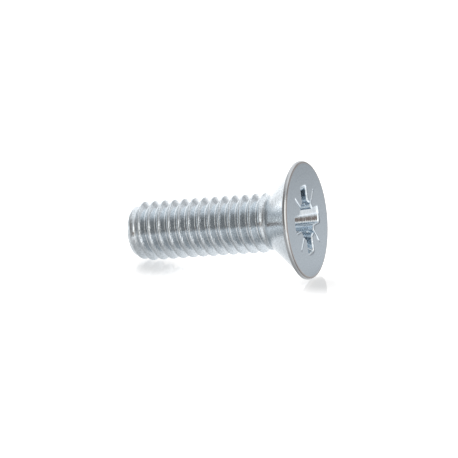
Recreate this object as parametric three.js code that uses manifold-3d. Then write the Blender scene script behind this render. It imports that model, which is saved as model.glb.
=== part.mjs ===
// M4 x 12 countersunk machine screw with a Pozidriv-type cross recess, one solid piece of steel.
//
// Frame: millimetres. The origin is the centre of the head's flat top face. +X runs along the screw
// axis out of that face, so the shank lies towards -X. The recess wings point along +-Y and +-Z.

import * as THREE from 'three';
import { mergeVertices } from 'three/addons/utils/BufferGeometryUtils.js';
import Module from 'manifold-3d';

// ---- driving dimensions (mm, degrees) ----------------------------------------------------------

const length = 11.85;             // head face to shank end, all under the surface it is driven into
const headRadius = 3.8;
const rimHeight = 0.27;           // cylindrical land around the head
const rimFoot = 0.34;             // below the face: the land's rounded underside meets the cone here
const coneStart = 0.17;           // below the face: where the cone would reach the head's full radius
const faceBevel = 0.05;           // broken edge between the land and the top face
const coneHalfAngle = 45;         // 90 degree countersink
const neckRadius = 1.76;          // the plain blank, close to the thread's pitch diameter
const filletRadius = 0.3;         // between the cone and the neck

const pitch = 0.7;                // M4 coarse, right hand
const crestRadius = 1.92;
const rootRadius = 1.54;
const crestFlat = 0.09;            // width of the crest along the axis
const rootFlat = 0.17;             // width of the root; with the depth, this makes 60 degree flanks
const crestAtZeroAngle = -2.881;  // where a crest crosses the +Y side of the shank
const runOutEnd = 2.36;           // below the face: the neck is plain from here up to the cone
const runOutStart = 2.68;         // below the face: the thread has its full depth from here down

const endRadius = 1.56;           // flat end of the shank
const endRounding = 0.75;         // length over which the end closes in from the crest radius
const endRootRadius = 1.7;        // the last root is shallow at the shank's end

const wingSpan = 4.4;             // recess, tip to tip of two opposite wings at the face
const wingWidth = 1.06;
const wingTaper = 26.5;           // how far a wing's outer edge leans in from the axis
const recessDepth = 2.12;         // to where the wings reach the core's foot
const recessPoint = 0.28;         // the shallow cone below that
const coreTopRadius = 1.27;       // the core between the wings, at the face
const coreFootRadius = 1.0;
const ribReach = 2.25;            // the four narrow ribs between the wings, from the axis, at the face
const ribWidth = 0.24;
const ribDepth = 1.7;             // where a rib's edge meets the axis

const columns = 32;               // flats around the screw
const filletSteps = 3;
const overshoot = 0.4;            // how far cutting shapes stand out of the face

// ---- small helpers -----------------------------------------------------------------------------

const radians = (degrees) => (degrees * Math.PI) / 180;
const clamp = (value, low, high) => Math.min(Math.max(value, low), high);
const blend = (from, to, share) => from + (to - from) * clamp(share, 0, 1);

const wasm = await Module();
wasm.setup();

// A closed three.js geometry as a manifold solid.
function solid(geometry) {
  const bare = geometry.index ? geometry.toNonIndexed() : geometry.clone();
  bare.deleteAttribute('normal');
  bare.deleteAttribute('uv');
  const welded = mergeVertices(bare, 1e-5);
  const corners = welded.index.array;
  const kept = [];
  for (let i = 0; i < corners.length; i += 3) {
    const [a, b, c] = corners.slice(i, i + 3);
    if (a !== b && b !== c && c !== a) kept.push(a, b, c);
  }
  return new wasm.Manifold(new wasm.Mesh({
    numProp: 3,
    vertProperties: new Float32Array(welded.attributes.position.array),
    triVerts: new Uint32Array(kept),
  }));
}

function geometryOf(manifold) {
  const mesh = manifold.getMesh();
  const geometry = new THREE.BufferGeometry();
  geometry.setAttribute('position', new THREE.BufferAttribute(mesh.vertProperties, 3));
  geometry.setIndex(new THREE.BufferAttribute(mesh.triVerts, 1));
  geometry.computeVertexNormals();
  return geometry;
}

// ---- head and shank ----------------------------------------------------------------------------

// The largest radius that the thread may have at x: it fades into the neck and closes in at the end.
function crestLimit(x) {
  const alongEnd = clamp((x + length) / endRounding, 0, 1);
  const rounded = Math.sqrt(1 - (1 - alongEnd) ** 2);
  const towardsEnd = blend(endRadius, crestRadius, rounded);
  const towardsNeck = blend(crestRadius, neckRadius, (x + runOutStart) / (runOutStart - runOutEnd));
  return Math.min(towardsEnd, towardsNeck);
}

function rootLimit(x) {
  const towardsEnd = blend(endRootRadius, rootRadius, (x + length) / endRounding);
  const towardsNeck = blend(rootRadius, neckRadius, (x + runOutStart) / (runOutStart - runOutEnd));
  return Math.min(crestLimit(x), Math.max(towardsEnd, towardsNeck));
}

// One point of the thread. Phase 0 is the middle of a crest, measured in pitches along the axis.
function threadRadius(x, phase) {
  const fromCrest = Math.abs(phase - Math.round(phase)) * pitch;
  const down = (fromCrest - crestFlat / 2) / ((pitch - crestFlat - rootFlat) / 2);
  return blend(crestLimit(x), rootLimit(x), down);
}

// Rings of the plain upper part, from the neck to the top face, as [x, radius].
function headRings() {
  const half = radians(coneHalfAngle);
  const coneTopRadius = headRadius - (rimFoot - coneStart) * Math.tan(half);
  const cornerX = -coneStart - (headRadius - neckRadius) / Math.tan(half);
  const tangent = filletRadius * Math.tan(half / 2);
  const rings = [];
  for (let i = 0; i <= filletSteps; i += 1) {
    const turn = (half * i) / filletSteps;
    rings.push([
      cornerX - tangent + filletRadius * Math.sin(turn),
      neckRadius + filletRadius * (1 - Math.cos(turn)),
    ]);
  }
  rings.push([-rimFoot, coneTopRadius]);
  rings.push([-rimHeight, headRadius]);
  rings.push([-faceBevel, headRadius]);
  rings.push([0, headRadius - faceBevel]);
  return rings;
}

// Rows of the surface, from the middle of the shank's end to the middle of the top face. Each row
// is a function that gives [x, radius] at one angle. Thread rows follow the helix and are clamped
// between the shank's end and the plain neck, so that the first and last of them are flat rings.
function surfaceRows() {
  const upper = headRings();
  const threadEnd = upper[0][0];
  const breaks = [-crestFlat / 2, crestFlat / 2, (pitch - rootFlat) / 2, (pitch + rootFlat) / 2];
  const firstTurn = Math.floor((-length - crestAtZeroAngle) / pitch) - 2;
  const lastTurn = Math.ceil((threadEnd - crestAtZeroAngle) / pitch);
  const rows = [() => [-length, 0]];
  for (let turn = firstTurn; turn <= lastTurn; turn += 1) {
    for (const offset of breaks) {
      rows.push((share) => {
        const helix = crestAtZeroAngle + (turn + share) * pitch + offset;
        const x = clamp(helix, -length, threadEnd);
        return [x, threadRadius(x, (x - crestAtZeroAngle) / pitch - share)];
      });
    }
  }
  for (const ring of upper) rows.push(() => ring);
  rows.push(() => [0, 0]);
  return rows;
}

function blankGeometry() {
  const rows = surfaceRows();
  const positions = [];
  const corner = (row, column) => {
    const [x, radius] = row(column / columns);
    const angle = (2 * Math.PI * (column % columns)) / columns;
    return [x, radius * Math.cos(angle), radius * Math.sin(angle)];
  };
  for (let r = 0; r + 1 < rows.length; r += 1) {
    for (let c = 0; c < columns; c += 1) {
      const lowLeft = corner(rows[r], c);
      const lowRight = corner(rows[r], c + 1);
      const highLeft = corner(rows[r + 1], c);
      const highRight = corner(rows[r + 1], c + 1);
      positions.push(...lowLeft, ...lowRight, ...highRight);
      positions.push(...lowLeft, ...highRight, ...highLeft);
    }
  }
  const geometry = new THREE.BufferGeometry();
  geometry.setAttribute('position', new THREE.Float32BufferAttribute(positions, 3));
  return geometry;
}

// ---- cross recess ------------------------------------------------------------------------------

// A flat blade through the axis: its outline lies in the XY plane and is turned about X.
function blade(outline, thickness, turn) {
  const shape = new THREE.Shape(outline.map(([x, y]) => new THREE.Vector2(x, y)));
  const geometry = new THREE.ExtrudeGeometry(shape, { depth: thickness, bevelEnabled: false });
  geometry.translate(0, 0, -thickness / 2);
  geometry.rotateX(radians(turn));
  return solid(geometry);
}

function wing(turn) {
  const lean = Math.tan(radians(wingTaper));
  const foot = wingSpan / 2 - recessDepth * lean;
  const top = wingSpan / 2 + overshoot * lean;
  const outline = [
    [overshoot, top],
    [-recessDepth, foot],
    [-recessDepth - recessPoint, 0],
    [-recessDepth, -foot],
    [overshoot, -top],
  ];
  return blade(outline.reverse(), wingWidth, turn);
}

function rib(turn) {
  const top = ribReach * (1 + overshoot / ribDepth);
  return blade([[overshoot, -top], [overshoot, top], [-ribDepth, 0]], ribWidth, turn);
}

function core() {
  const lean = (coreTopRadius - coreFootRadius) / recessDepth;
  const profile = [
    new THREE.Vector2(0, -recessDepth - recessPoint),
    new THREE.Vector2(coreFootRadius, -recessDepth),
    new THREE.Vector2(coreTopRadius + lean * overshoot, overshoot),
    new THREE.Vector2(0, overshoot),
  ];
  const geometry = new THREE.LatheGeometry(profile, columns / 2);
  geometry.rotateZ(-Math.PI / 2);
  return solid(geometry);
}

function recess() {
  let cutter = core();
  for (const turn of [0, 90]) cutter = cutter.add(wing(turn));
  for (const turn of [45, 135]) cutter = cutter.add(rib(turn));
  return cutter;
}

// ---- the part ----------------------------------------------------------------------------------

function screw() {
  const material = new THREE.MeshStandardMaterial({ color: 0xb9bfc6, roughness: 0.3, metalness: 1 });
  const mesh = new THREE.Mesh(geometryOf(solid(blankGeometry()).subtract(recess())), material);
  mesh.name = 'screw';
  return mesh;
}

const part = new THREE.Group();
part.add(screw());

export default part;
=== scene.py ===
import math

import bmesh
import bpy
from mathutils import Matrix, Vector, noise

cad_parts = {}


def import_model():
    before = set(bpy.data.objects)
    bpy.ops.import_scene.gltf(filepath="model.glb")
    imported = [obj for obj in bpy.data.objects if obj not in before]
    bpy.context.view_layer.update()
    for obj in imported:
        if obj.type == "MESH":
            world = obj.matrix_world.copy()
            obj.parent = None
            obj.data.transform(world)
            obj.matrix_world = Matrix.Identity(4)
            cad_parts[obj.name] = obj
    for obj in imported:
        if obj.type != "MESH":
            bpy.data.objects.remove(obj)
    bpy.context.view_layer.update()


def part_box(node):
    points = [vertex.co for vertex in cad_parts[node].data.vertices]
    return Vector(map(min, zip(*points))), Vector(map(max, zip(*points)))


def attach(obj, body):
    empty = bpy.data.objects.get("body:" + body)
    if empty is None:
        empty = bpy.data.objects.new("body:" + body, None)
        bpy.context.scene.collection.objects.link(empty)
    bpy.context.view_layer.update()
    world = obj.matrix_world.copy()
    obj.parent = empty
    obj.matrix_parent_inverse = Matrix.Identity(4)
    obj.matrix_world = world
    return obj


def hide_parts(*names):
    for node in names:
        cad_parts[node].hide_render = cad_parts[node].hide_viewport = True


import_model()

# M4 x 12 countersunk machine screw, zinc plated, lying on a glossy white table.
# The finely modelled screw stands for the CAD node "screw". Its lengths are in millimetres and
# become metres when the mesh is made. The screw axis is X, the head's top face is at x = 0 and the
# shank lies towards -X.

MM = 0.001
LOW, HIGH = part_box("screw")

# ---- sizes -------------------------------------------------------------------------------------

LENGTH = -LOW.x / MM
HEAD_RADIUS = HIGH.y / MM
NECK_RADIUS = 1.76
NECK_FILLET = 0.3
RIM_HEIGHT = 0.26          # below the face: the land's full radius starts here
RIM_FOOT = 0.34            # below the face: the land's rounded underside meets the cone here
RIM_CHAMFER = 0.12         # height of the chamfer between the land and the face
RIM_INSET = 0.8 * RIM_CHAMFER  # the chamfer's width
RIM_UNDERCUT = 0.17        # how much narrower the cone is at the rim's foot than the land
RIM_EDGE = 0.03            # rounding of the chamfer's two edges
RIM_SHOULDER = 0.06        # rounding where the land's full radius starts
RIM_FOOT_EDGE = 0.08       # rounding where its underside meets the cone
CONE_ANGLE = math.radians(44)
HEAD_ARC_STEPS = 5

PITCH = 0.7
CREST_RADIUS = 1.92
ROOT_RADIUS = 1.52
CREST_FLAT = 0.09          # width of the crest along the axis, before rounding
ROOT_FLAT = 0.1
CREST_ROUNDING = 0.05
ROOT_ROUNDING = 0.08
CREST_AT_ZERO = -2.881     # where a crest crosses the +Y side
RUN_OUT_START = 2.68       # below the face: the thread has its full depth from here down
RUN_OUT_END = 2.36         # below the face: the neck is plain from here up to the cone

END_RADIUS = 1.56
END_ROUNDING = 0.75        # length over which the end closes in from the crest radius
END_CURVE = 1.5            # 1 would be a straight chamfer, and more is rounder
END_ROOT_RADIUS = 1.7      # the last root is shallow
END_DISH_RADIUS = 1.15
END_DISH_DEPTH = 0.06
END_EDGE = 0.06            # flat ring left inside the end's edge
END_ROUGHNESS = 0.012      # height of the sheared face's waves
END_WAVE = 1.3             # how closely they follow each other, per millimetre

WING_SPAN = 4.36           # recess, tip to tip of two opposite wings
WING_WIDTH = 1.01
WING_LEAN = math.tan(math.radians(26.5))  # of its outer edge towards the axis
WING_DRAFT = math.tan(math.radians(2))    # of its two sides towards each other
WING_CORNER = 0.1
RECESS_DEPTH = 2.12        # to the foot of the wings
RECESS_POINT = 0.28        # the shallow cone below that
CORE_TOP = 1.27            # radius of the core between the wings, at the face
CORE_FOOT = 1.0
CORE_CORNER = 0.14         # rounding between core and wing, at the face
CORE_FOOT_CORNER = 0.05    # and at the foot of the wings
RIB_REACH = 2.45           # from the axis, at the face
RIB_LEVEL = 0.12           # how far the ribs stand out of the core below their sloped mouth
RIB_MOUTH = 0.5            # depth of that mouth
RIB_WIDTH = 0.15
RIB_CORNER = 0.07
RIB_POINT = 0.12           # length of a rib's pointed tip
RIB_TAPER = 0.8            # a rib's width where the tip begins, as a share of its width
LIP = 0.12                 # rounding of the recess's edge
LIP_STEPS = 4
RIB_LIP = 0.4              # the lip along the ribs, as a share of that

# ring by ring: radii of the dished end and of the recess's floor as shares of their outer radius,
# distances across the face as shares from rim to recess, and depths of the recess's wall
END_SHARES = (0.0, 0.15, 0.3, 0.45, 0.6, 0.75, 0.85, 0.93, 1.0)
FACE_SHARES = (0.0, 0.03, 0.3, 0.65, 0.93, 0.985, 1.0)
WALL_DEPTHS = (
    0.14, 0.18, 0.22, 0.3, 0.4, 0.47, RIB_MOUTH, 0.53,
    0.6, 0.8, 1.1, 1.4, 1.7, 1.95, 2.06, 2.1,
)
FLOOR_SHARES = (0.99, 0.95, 0.85, 0.7, 0.5, 0.3, 0.15, 0.05, 0.0)

COLUMNS = 192              # points around the screw; recess_ring gives just as many
ARC_STEPS = 3
WELD = 1e-5                # points closer than this become one


# ---- mesh helpers ------------------------------------------------------------------------------

def mix(a, b, share):
    return a + (b - a) * min(max(share, 0.0), 1.0)


def rounded(corners, steps=ARC_STEPS):
    """A polyline through (x, y, rounding radius) corners, with an arc at each rounded one."""
    line = []
    for i, (x, y, radius) in enumerate(corners):
        here = Vector((x, y))
        if radius == 0:
            line.append(here)
            continue
        back = (Vector(corners[i - 1][:2]) - here).normalized()
        ahead = (Vector(corners[i + 1][:2]) - here).normalized()
        half = back.angle(ahead) / 2
        middle = here + (back + ahead).normalized() * (radius / math.sin(half))
        first = here + back * (radius / math.tan(half)) - middle
        last = here + ahead * (radius / math.tan(half)) - middle
        for step in range(steps + 1):
            line.append(middle + radius * first.slerp(last, step / steps))
    return line


class Skin:
    """A surface made ring by ring.

    A ring has COLUMNS + 1 points, the last on top of the first, and they are welded at the end.
    The groove attribute is the distance from the thread's crest, for lines that follow the helix.
    """

    def __init__(self):
        self.points = []
        self.groove = []
        self.faces = []

    def ring(self, points, groove=0.0):
        start = len(self.points)
        self.points.extend(points)
        self.groove.extend([groove] * len(points))
        if start == 0:
            return
        below = start - COLUMNS - 1
        for c in range(COLUMNS):
            self.faces.append((below + c, below + c + 1, start + c + 1, start + c))

    def plain_ring(self, x, radius, bump=None):
        turns = [2 * math.pi * c / COLUMNS for c in range(COLUMNS + 1)]
        points = [(x, radius * math.cos(t), radius * math.sin(t)) for t in turns]
        if bump:
            points = [(px + bump(py, pz), py, pz) for px, py, pz in points]
        self.ring(points)

    def to_object(self, name):
        mesh = bpy.data.meshes.new(name)
        mesh.from_pydata([Vector(p) * MM for p in self.points], [], self.faces)
        layer = mesh.attributes.new("groove", "FLOAT", "POINT")
        layer.data.foreach_set("value", self.groove)
        made = bmesh.new()
        made.from_mesh(mesh)
        bmesh.ops.remove_doubles(made, verts=made.verts, dist=WELD * MM)
        bmesh.ops.dissolve_degenerate(made, edges=made.edges, dist=WELD * MM)
        for face in made.faces:
            face.smooth = True
        made.to_mesh(mesh)
        made.free()
        obj = bpy.data.objects.new(name, mesh)
        bpy.context.scene.collection.objects.link(obj)
        return obj


# ---- the shank's end and the thread ------------------------------------------------------------

def run_out(x):
    """How far the thread has faded into the neck at x, from 0 to 1 and past both."""
    return (x + RUN_OUT_START) / (RUN_OUT_START - RUN_OUT_END)


def crest_limit(x):
    """The largest radius the thread has at x: it fades into the neck and closes in at the end."""
    along = min(max((x + LENGTH) / END_ROUNDING, 0.0), 1.0)
    towards_end = mix(END_RADIUS, CREST_RADIUS, 1 - (1 - along) ** END_CURVE)
    towards_neck = mix(CREST_RADIUS, NECK_RADIUS, run_out(x))
    return min(towards_end, towards_neck)


def root_limit(x):
    """The smallest radius the thread has at x."""
    towards_end = mix(END_ROOT_RADIUS, ROOT_RADIUS, (x + LENGTH) / END_ROUNDING)
    towards_neck = mix(ROOT_RADIUS, NECK_RADIUS, run_out(x))
    return min(crest_limit(x), max(towards_end, towards_neck))


def thread_profile():
    """One pitch from root to root as (offset from the crest, share of the thread's depth)."""
    depth = CREST_RADIUS - ROOT_RADIUS
    flank_foot = (PITCH - ROOT_FLAT) / 2
    line = rounded([
        (-PITCH / 2, 0, 0),
        (-flank_foot, 0, ROOT_ROUNDING),
        (-CREST_FLAT / 2, depth, CREST_ROUNDING),
        (CREST_FLAT / 2, depth, CREST_ROUNDING),
        (flank_foot, 0, ROOT_ROUNDING),
        (PITCH / 2, 0, 0),
    ])
    return [(p.x, p.y / depth) for p in line[:-1]]


def add_end(skin):
    """The end face: a sheared and slightly dished disc."""
    def rough(y, z):
        return END_ROUGHNESS * noise.noise(Vector((y * END_WAVE, z * END_WAVE, 4.0)))

    for share in END_SHARES:
        dish = END_DISH_DEPTH * (1 - share ** 2) ** 2
        skin.plain_ring(-LENGTH + dish, share * END_DISH_RADIUS, rough)
    skin.plain_ring(-LENGTH, END_RADIUS - END_EDGE)


def add_thread(skin, thread_end):
    """Rows that follow the helix, pressed flat against the shank's end and the plain neck."""
    profile = thread_profile()
    first = math.floor((-LENGTH - CREST_AT_ZERO) / PITCH) - 2
    last = math.ceil((thread_end - CREST_AT_ZERO) / PITCH)
    for turn in range(first, last + 1):
        for offset, height in profile:
            points = []
            for c in range(COLUMNS + 1):
                share = c / COLUMNS
                x = CREST_AT_ZERO + (turn + share) * PITCH + offset
                x = min(max(x, -LENGTH), thread_end)
                if -LENGTH < x < thread_end:
                    level = height
                else:
                    level = 0.0
                radius = mix(root_limit(x), crest_limit(x), level)
                angle = 2 * math.pi * share
                points.append((x, radius * math.cos(angle), radius * math.sin(angle)))
            skin.ring(points, offset)


# ---- the head ----------------------------------------------------------------------------------

def head_profile():
    """The plain upper part as (x, radius), from the neck's fillet to the edge of the top face."""
    foot_radius = HEAD_RADIUS - RIM_UNDERCUT
    corner = -RIM_FOOT - (foot_radius - NECK_RADIUS) / math.tan(CONE_ANGLE)
    neck = corner - NECK_FILLET * math.tan(CONE_ANGLE / 2)
    line = rounded([
        (neck - NECK_FILLET, NECK_RADIUS, 0),
        (corner, NECK_RADIUS, NECK_FILLET),
        (-RIM_FOOT, foot_radius, RIM_FOOT_EDGE),
        (-RIM_HEIGHT, HEAD_RADIUS, RIM_SHOULDER),
        (-RIM_CHAMFER, HEAD_RADIUS, RIM_EDGE),
        (0, HEAD_RADIUS - RIM_INSET, RIM_EDGE),
        (0, HEAD_RADIUS / 2, 0),
    ], HEAD_ARC_STEPS)
    return line[1:-1]


def arc(centre, radius, start, end, count):
    """Points of an arc, without the one at its end."""
    turns = [mix(start, end, i / count) for i in range(count)]
    return [centre + radius * Vector((math.cos(t), math.sin(t))) for t in turns]


def turned(x, y, turn):
    return x * math.cos(turn) - y * math.sin(turn), x * math.sin(turn) + y * math.cos(turn)


def recess_ring(depth, grow=0.0):
    """The recess's outline at a depth below the face, moved outwards by grow.

    It starts in the middle of the +Y wing. Half a quarter is drawn, from there to the tip of the
    next rib, and is then mirrored and turned, which gives COLUMNS + 1 points.
    """
    share = depth / RECESS_DEPTH
    span = WING_SPAN / 2 - depth * WING_LEAN + grow
    width = WING_WIDTH / 2 - depth * WING_DRAFT + grow
    corner = WING_CORNER + grow
    core = mix(CORE_TOP, CORE_FOOT, share) + grow
    core_corner = mix(CORE_CORNER, CORE_FOOT_CORNER, share) - grow
    rib_grow = grow * RIB_LIP
    rib = mix(RIB_REACH + rib_grow, core + RIB_LEVEL, depth / RIB_MOUTH)
    rib_width = RIB_WIDTH / 2 + rib_grow
    rib_corner = RIB_CORNER - rib_grow

    # centres of three roundings: the wing's outer corner, wing to core, and rib to core; the last
    # is measured along the rib and across it
    axis = Vector((0, 0))
    outer = Vector((math.sqrt((span - corner) ** 2 - (width - corner) ** 2), width - corner))
    inner = Vector((0, width + core_corner))
    inner.x = math.sqrt((core + core_corner) ** 2 - inner.y ** 2)
    beside = Vector((0, rib_width + rib_corner))
    beside.x = math.sqrt((core + rib_corner) ** 2 - beside.y ** 2)
    lean = math.atan2(outer.y, outer.x)
    meet = math.atan2(inner.y, inner.x)
    rib_meet = math.atan2(beside.y, beside.x)
    tip = rib - min(RIB_POINT, (rib - beside.x) / 2)

    half = arc(axis, span, 0, lean, 5)
    half += arc(outer, corner, lean, math.pi / 2, 4)
    half += [Vector((mix(outer.x, inner.x, i / 6), width)) for i in range(6)]
    half += arc(inner, core_corner, -math.pi / 2, meet - math.pi, 3)
    half += arc(axis, core, meet, math.pi / 4 - rib_meet, 2)
    side = arc(beside, rib_corner, rib_meet - math.pi, -math.pi / 2, 2)
    side += [Vector((beside.x, rib_width)), Vector((tip, rib_width * RIB_TAPER)), Vector((rib, 0))]
    half += [Vector(turned(p.x, -p.y, math.pi / 4)) for p in side]

    mirrored = [Vector((p.y, p.x)) for p in reversed(half[:-1])]
    quarter = (half + mirrored)[:-1]
    points = [(-depth, *turned(p.x, p.y, math.pi / 2 * q)) for q in range(4) for p in quarter]
    return points + points[:1]


def add_face(skin):
    """The flat face, from the rim inwards to the recess."""
    lip = recess_ring(0, LIP)
    outer = HEAD_RADIUS - RIM_INSET - RIM_EDGE
    for share in FACE_SHARES:
        points = []
        for c, (_, y, z) in enumerate(lip):
            rim_y, rim_z = turned(outer, 0, 2 * math.pi * c / COLUMNS)
            points.append((0, mix(rim_y, y, share), mix(rim_z, z, share)))
        skin.ring(points)


def add_recess(skin):
    """The rolled lip, the wall down to the wings' feet, and the floor."""
    for i in range(1, LIP_STEPS + 1):
        turn = math.pi / 2 * i / LIP_STEPS
        skin.ring(recess_ring(LIP * (1 - math.cos(turn)), LIP * (1 - math.sin(turn))))
    for depth in WALL_DEPTHS:
        skin.ring(recess_ring(depth))
    foot = recess_ring(RECESS_DEPTH)
    for share in FLOOR_SHARES:
        sink = RECESS_DEPTH + RECESS_POINT * (1 - share)
        skin.ring([(-sink, y * share, z * share) for _, y, z in foot])


def screw():
    profile = head_profile()
    skin = Skin()
    add_end(skin)
    add_thread(skin, profile[0].x)
    for p in profile[1:]:
        skin.plain_ring(p.x, p.y)
    add_face(skin)
    add_recess(skin)
    return skin.to_object("screw_surface")


# ---- node helpers ------------------------------------------------------------------------------

class Nodes:
    """Short calls that add a node to a tree. Each takes sockets or plain values."""

    def __init__(self, tree):
        self.tree = tree

    def put(self, value, socket):
        if isinstance(value, bpy.types.NodeSocket):
            self.tree.links.new(value, socket)
        else:
            socket.default_value = value

    def math(self, operation, a, b=0.0, c=0.0):
        node = self.tree.nodes.new("ShaderNodeMath")
        node.operation = operation
        for value, socket in zip((a, b, c), node.inputs):
            self.put(value, socket)
        return node.outputs[0]

    def dot(self, vector, direction):
        node = self.tree.nodes.new("ShaderNodeVectorMath")
        node.operation = "DOT_PRODUCT"
        self.put(vector, node.inputs[0])
        node.inputs[1].default_value = direction
        return node.outputs["Value"]

    def distance(self, vector, point):
        node = self.tree.nodes.new("ShaderNodeVectorMath")
        node.operation = "DISTANCE"
        self.put(vector, node.inputs[0])
        node.inputs[1].default_value = point
        return node.outputs["Value"]

    def vector(self, x, y, z):
        node = self.tree.nodes.new("ShaderNodeCombineXYZ")
        for value, socket in zip((x, y, z), node.inputs):
            self.put(value, socket)
        return node.outputs[0]

    def noise(self, vector, scale, detail=2.0):
        node = self.tree.nodes.new("ShaderNodeTexNoise")
        self.put(vector, node.inputs["Vector"])
        node.inputs["Scale"].default_value = scale
        node.inputs["Detail"].default_value = detail
        return node.outputs[0]

    def ramp(self, value, low, high, out_low=0.0, out_high=1.0):
        node = self.tree.nodes.new("ShaderNodeMapRange")
        node.interpolation_type = "SMOOTHSTEP"
        for socket, number in zip(node.inputs, (value, low, high, out_low, out_high)):
            self.put(number, socket)
        return node.outputs[0]

    def blend(self, share, a, b):
        node = self.tree.nodes.new("ShaderNodeMix")
        node.data_type = "RGBA"
        self.put(share, node.inputs["Factor"])
        self.put(a, node.inputs[6])
        self.put(b, node.inputs[7])
        return node.outputs[2]


# ---- stage: where the screw lies, camera, floor and light ---------------------------------------

ROLL = math.radians(4.9)         # the recess's turn from upright as the screw lies
REST_CREST = 0.8 * END_ROUNDING  # from the end to the crest that the screw rests on
CAMERA_TURN = math.radians(20.1)  # from square-on to the screw, towards the head
CAMERA_LIFT = 16.65              # degrees above the floor
CAMERA_DISTANCE = 0.2128         # metres from the face's centre
CAMERA_LENS = 262.6
AIM = (-0.004998, -0.000577)     # metres from the face's centre to the view's, right and up


def lying():
    """The floor's normal, and two directions along the floor: under the screw, and to its left."""
    reach = LENGTH - RIM_HEIGHT / 2 - REST_CREST
    tilt = math.atan((HEAD_RADIUS - CREST_RADIUS) / reach)
    level = math.cos(tilt)
    up = Vector((math.sin(tilt), -level * math.sin(ROLL), level * math.cos(ROLL)))
    along = (Vector((1, 0, 0)) - up * up.x).normalized()
    return up, along, up.cross(along)


UP, ALONG, ACROSS = lying()


def studio_direction(turn, lift):
    """A direction given in degrees to the right of the camera, seen from the screw, and upwards."""
    turn, lift = math.radians(turn), math.radians(lift)
    towards = math.sin(CAMERA_TURN) * ALONG - math.cos(CAMERA_TURN) * ACROSS
    right = math.cos(CAMERA_TURN) * ALONG + math.sin(CAMERA_TURN) * ACROSS
    flat = math.cos(turn) * towards + math.sin(turn) * right
    return math.cos(lift) * flat + math.sin(lift) * UP


def camera():
    right = studio_direction(90, 0)
    back = studio_direction(0, CAMERA_LIFT)
    over = back.cross(right)
    data = bpy.data.cameras.new("camera")
    data.lens = CAMERA_LENS
    data.clip_start = 0.001
    obj = bpy.data.objects.new("camera", data)
    place = AIM[0] * right + AIM[1] * over + CAMERA_DISTANCE * back
    turn = Matrix((right, over, back)).transposed().to_4x4()
    obj.matrix_world = Matrix.Translation(place) @ turn
    bpy.context.scene.collection.objects.link(obj)
    bpy.context.scene.camera = obj


def contact(obj, low, high):
    """The lowest point of the screw between two distances along its axis, in millimetres."""
    near = [v.co for v in obj.data.vertices if low * MM <= v.co.x <= high * MM]
    return min(near, key=UP.dot)


def floor(screw_obj):
    contacts = [contact(screw_obj, -LENGTH, 2 - LENGTH), contact(screw_obj, -1, 0)]
    drop = min(UP.dot(point) for point in contacts) * UP
    corners = [drop + a * ALONG + b * ACROSS for a, b in ((-1, -1), (1, -1), (1, 1), (-1, 1))]
    mesh = bpy.data.meshes.new("floor")
    mesh.from_pydata(corners, [], [(0, 1, 2, 3)])
    mesh.materials.append(table(contacts))
    obj = bpy.data.objects.new("floor", mesh)
    bpy.context.scene.collection.objects.link(obj)


def table(contacts):
    """A glossy light table.

    Seen directly it is almost white, and a little dimmer just in front of the two points that the
    screw rests on: a painted contact shadow. The screw sees it lit unevenly instead, by painted
    light and shade in its glow: more behind, on the right and in front, and less far away behind.
    """
    material = bpy.data.materials.new("floor_white")
    material.use_nodes = True
    make = Nodes(material.node_tree)
    shader = material.node_tree.nodes["Principled BSDF"]
    shader.inputs["Base Color"].default_value = (0.4, 0.4, 0.4, 1)
    shader.inputs["Roughness"].default_value = 0.03
    shader.inputs["IOR"].default_value = 1.85
    shader.inputs["Emission Color"].default_value = (1, 1, 1, 1)
    place = material.node_tree.nodes.new("ShaderNodeTexCoord").outputs["Object"]
    seen = material.node_tree.nodes.new("ShaderNodeLightPath").outputs["Is Camera Ray"]

    # painted light and shade in the glow that the screw sees: dark just under the screw and close in
    # front of it, where it would shade the table, brighter behind it, further in front and on the
    # right, and dimmer far behind
    slopes = [
        # direction, where it starts and ends in millimetres, light at its start and at its end
        (ACROSS, -3.2, 0.8, 0.0, 0.54),
        (ACROSS, 0.5, 9, 0.0, 0.32),
        (-ACROSS, 1, 9, 0.14, 0.34),
        (ALONG, -3, 6, 0.0, 0.3),
    ]
    painted_light_and_shade = 0.0
    for direction, start, end, first, last in slopes:
        slope = make.ramp(make.dot(place, direction), start * MM, end * MM, first, last)
        painted_light_and_shade = make.math("ADD", painted_light_and_shade, slope)
    far = make.ramp(make.dot(place, ACROSS), 20 * MM, 70 * MM, 1.0, 0.15)
    painted_light_and_shade = make.math("MULTIPLY", make.math("MINIMUM", painted_light_and_shade, 1.0), far)
    painted_light_and_shade = make.math("MULTIPLY", painted_light_and_shade, make.math("SUBTRACT", 1.0, seen))

    # painted contact shadow, seen directly: the glow dims just in front of the two points that the
    # screw rests on
    in_front = (studio_direction(0, 0) * 1.2 + ALONG * 0.6) * MM
    apart = [make.distance(place, point + in_front) for point in contacts]
    painted_contact_shadow = make.ramp(make.math("MINIMUM", *apart), 0.3 * MM, 3.8 * MM, 0.45, 0.95)
    strength = make.math("MULTIPLY_ADD", seen, painted_contact_shadow, painted_light_and_shade)
    make.put(strength, shader.inputs["Emission Strength"])
    return material


# ---- metal, and the light around it ------------------------------------------------------------

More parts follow.
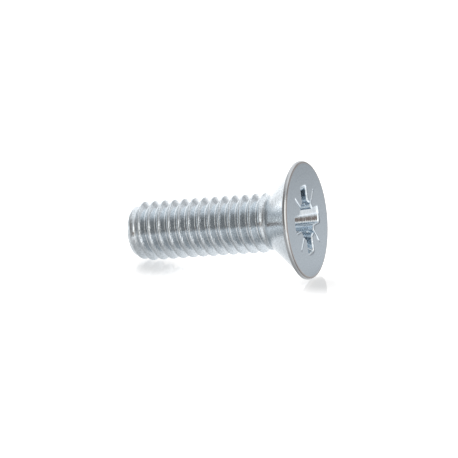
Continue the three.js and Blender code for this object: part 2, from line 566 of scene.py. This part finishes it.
def metal():
    """Bright zinc: glossy with rolling marks on thread and cone, matt and finely mottled on the face.

    The rim is a little darker grey, with a dark brownish line along its edge. The recess has fine
    streaks that run level with the face.
    """
    material = bpy.data.materials.new("zinc_plated_steel")
    material.use_nodes = True
    tree = material.node_tree
    make = Nodes(tree)
    shader = tree.nodes["Principled BSDF"]
    shader.inputs["Metallic"].default_value = 1.0

    # the place in millimetres, the distance from the axis, and the distance from the thread's crest
    scale = tree.nodes.new("ShaderNodeVectorMath")
    scale.operation = "SCALE"
    scale.inputs["Scale"].default_value = 1 / MM
    make.put(tree.nodes.new("ShaderNodeTexCoord").outputs["Object"], scale.inputs[0])
    place = scale.outputs[0]
    parts = tree.nodes.new("ShaderNodeSeparateXYZ")
    make.put(place, parts.inputs[0])
    x, y, z = parts.outputs
    y_squared = make.math("MULTIPLY", y, y)
    z_squared = make.math("MULTIPLY", z, z)
    radius = make.math("SQRT", make.math("ADD", y_squared, z_squared))
    attribute = tree.nodes.new("ShaderNodeAttribute")
    attribute.attribute_name = "groove"
    groove = attribute.outputs["Fac"]

    # shares from 0 to 1 that say where on the screw a point is; the recess narrows with its depth,
    # and so does the radius that it is told by
    on_face = make.ramp(x, -0.03, -0.008)
    off_face = make.math("SUBTRACT", 1.0, on_face)
    on_head = make.ramp(x, -2.5, -2.3)
    in_recess = make.ramp(make.math("MULTIPLY_ADD", x, -0.5, radius), 2.25, 2.6, 1.0, 0.0)
    in_recess = make.math("MULTIPLY", make.math("MULTIPLY", in_recess, on_head), off_face)
    on_rim = make.ramp(radius, 3.6, 3.64)
    on_edge = make.math("MULTIPLY", on_rim, make.ramp(x, -0.06, -0.03))

    # rolling marks follow the thread on the shank and run round the cone on the head
    across = make.math("MULTIPLY_ADD", make.math("MULTIPLY", radius, on_head), 0.4, groove)
    lines = make.noise(make.vector(across, make.math("MULTIPLY", x, 0.02), 0.0), 16.0, 3.0)
    streaks = make.noise(make.vector(make.math("MULTIPLY", x, 22.0), y, z), 1.0, 3.0)
    grain = make.noise(place, 9.0, 3.0)
    speck = make.noise(place, 12.0, 4.0)
    mottle = make.noise(place, 11.0, 4.0)

    shiny = make.blend(make.ramp(speck, 0.3, 0.64), (0.57, 0.62, 0.66, 1), (0.77, 0.825, 0.87, 1))
    cut = make.blend(make.ramp(streaks, 0.35, 0.6), (0.61, 0.68, 0.74, 1), (0.72, 0.775, 0.82, 1))
    matt = make.blend(make.ramp(mottle, 0.34, 0.66), (0.225, 0.263, 0.3, 1), (0.33, 0.378, 0.418, 1))
    # darker grey on the rim, and a dark brownish line along the edge next to the face
    rim_tone = make.blend(on_edge, (0.52, 0.54, 0.56, 1), (0.26, 0.245, 0.24, 1))
    colour = make.blend(on_face, make.blend(in_recess, shiny, cut), matt)
    make.put(make.blend(on_rim, colour, rim_tone), shader.inputs["Base Color"])

    rough_metal = make.ramp(grain, 0.3, 0.75, 0.07, 0.16)
    rough_face = make.math("MULTIPLY", make.ramp(mottle, 0.3, 0.7, 0.3, 0.4), on_face)
    roughness = make.math("MULTIPLY_ADD", rough_metal, off_face, rough_face)
    make.put(roughness, shader.inputs["Roughness"])

    # heights in millimetres
    height = make.math("MULTIPLY", grain, make.ramp(in_recess, 0.0, 1.0, 0.008, 0.002))
    height = make.math("MULTIPLY_ADD", lines, make.ramp(on_head, 0.0, 1.0, 0.005, 0.009), height)
    height = make.math("MULTIPLY_ADD", make.math("MULTIPLY", streaks, in_recess), 0.005, height)
    bump = tree.nodes.new("ShaderNodeBump")
    bump.inputs["Distance"].default_value = MM
    bump.inputs["Strength"].default_value = 1.0
    make.put(height, bump.inputs["Height"])
    make.put(bump.outputs[0], shader.inputs["Normal"])
    return material


def world():
    """A studio of soft round areas, later ones over earlier ones; seen directly it is plain white.

    It is bright overhead, behind and at the front right, dim at the front left, on the left and on
    the right, and it has one small dark spot by the camera.
    """
    areas = [
        # degrees to the camera's right, degrees up, inner and outer radius in degrees, colour
        (180, 78, 15, 50, (0.83, 0.83, 0.83)),
        (188, 6, 15, 72, (1.2, 1.2, 1.2)),
        (-120, 22, 15, 40, (0.5, 0.5, 0.5)),
        (-45, 26, 20, 58, (0.3, 0.29, 0.28)),
        (112, 14, 15, 55, (0.45, 0.45, 0.46)),
        (140, 62, 15, 40, (1.12, 1.12, 1.12)),
        (41, 24, 15, 31, (1.65, 1.6, 1.52)),
        (11, 14, 7, 12, (0.25, 0.2, 0.175)),
    ]
    studio_world = bpy.data.worlds.new("studio")
    bpy.context.scene.world = studio_world
    studio_world.use_nodes = True
    tree = studio_world.node_tree
    make = Nodes(tree)
    ray = tree.nodes.new("ShaderNodeTexCoord").outputs["Generated"]
    light = (0.75, 0.75, 0.75, 1)
    for turn, lift, inner, outer, colour in areas:
        nearness = make.dot(ray, studio_direction(turn, lift))
        outer_edge = math.cos(math.radians(outer))
        inner_edge = math.cos(math.radians(inner))
        share = make.ramp(nearness, outer_edge, inner_edge)
        light = make.blend(share, light, (*colour, 1))
    studio = tree.nodes["Background"]
    make.put(light, studio.inputs["Color"])
    paper = tree.nodes.new("ShaderNodeBackground")
    paper.inputs["Color"].default_value = (1, 1, 1, 1)
    choice = tree.nodes.new("ShaderNodeMixShader")
    seen = tree.nodes.new("ShaderNodeLightPath").outputs["Is Camera Ray"]
    make.put(seen, choice.inputs["Fac"])
    make.put(studio.outputs[0], choice.inputs[1])
    make.put(paper.outputs[0], choice.inputs[2])
    make.put(choice.outputs[0], tree.nodes["World Output"].inputs["Surface"])


body = screw()
body.data.materials.append(metal())
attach(body, "root")
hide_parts("screw")
camera()
floor(body)
world()
bpy.context.scene.view_settings.view_transform = "Standard"
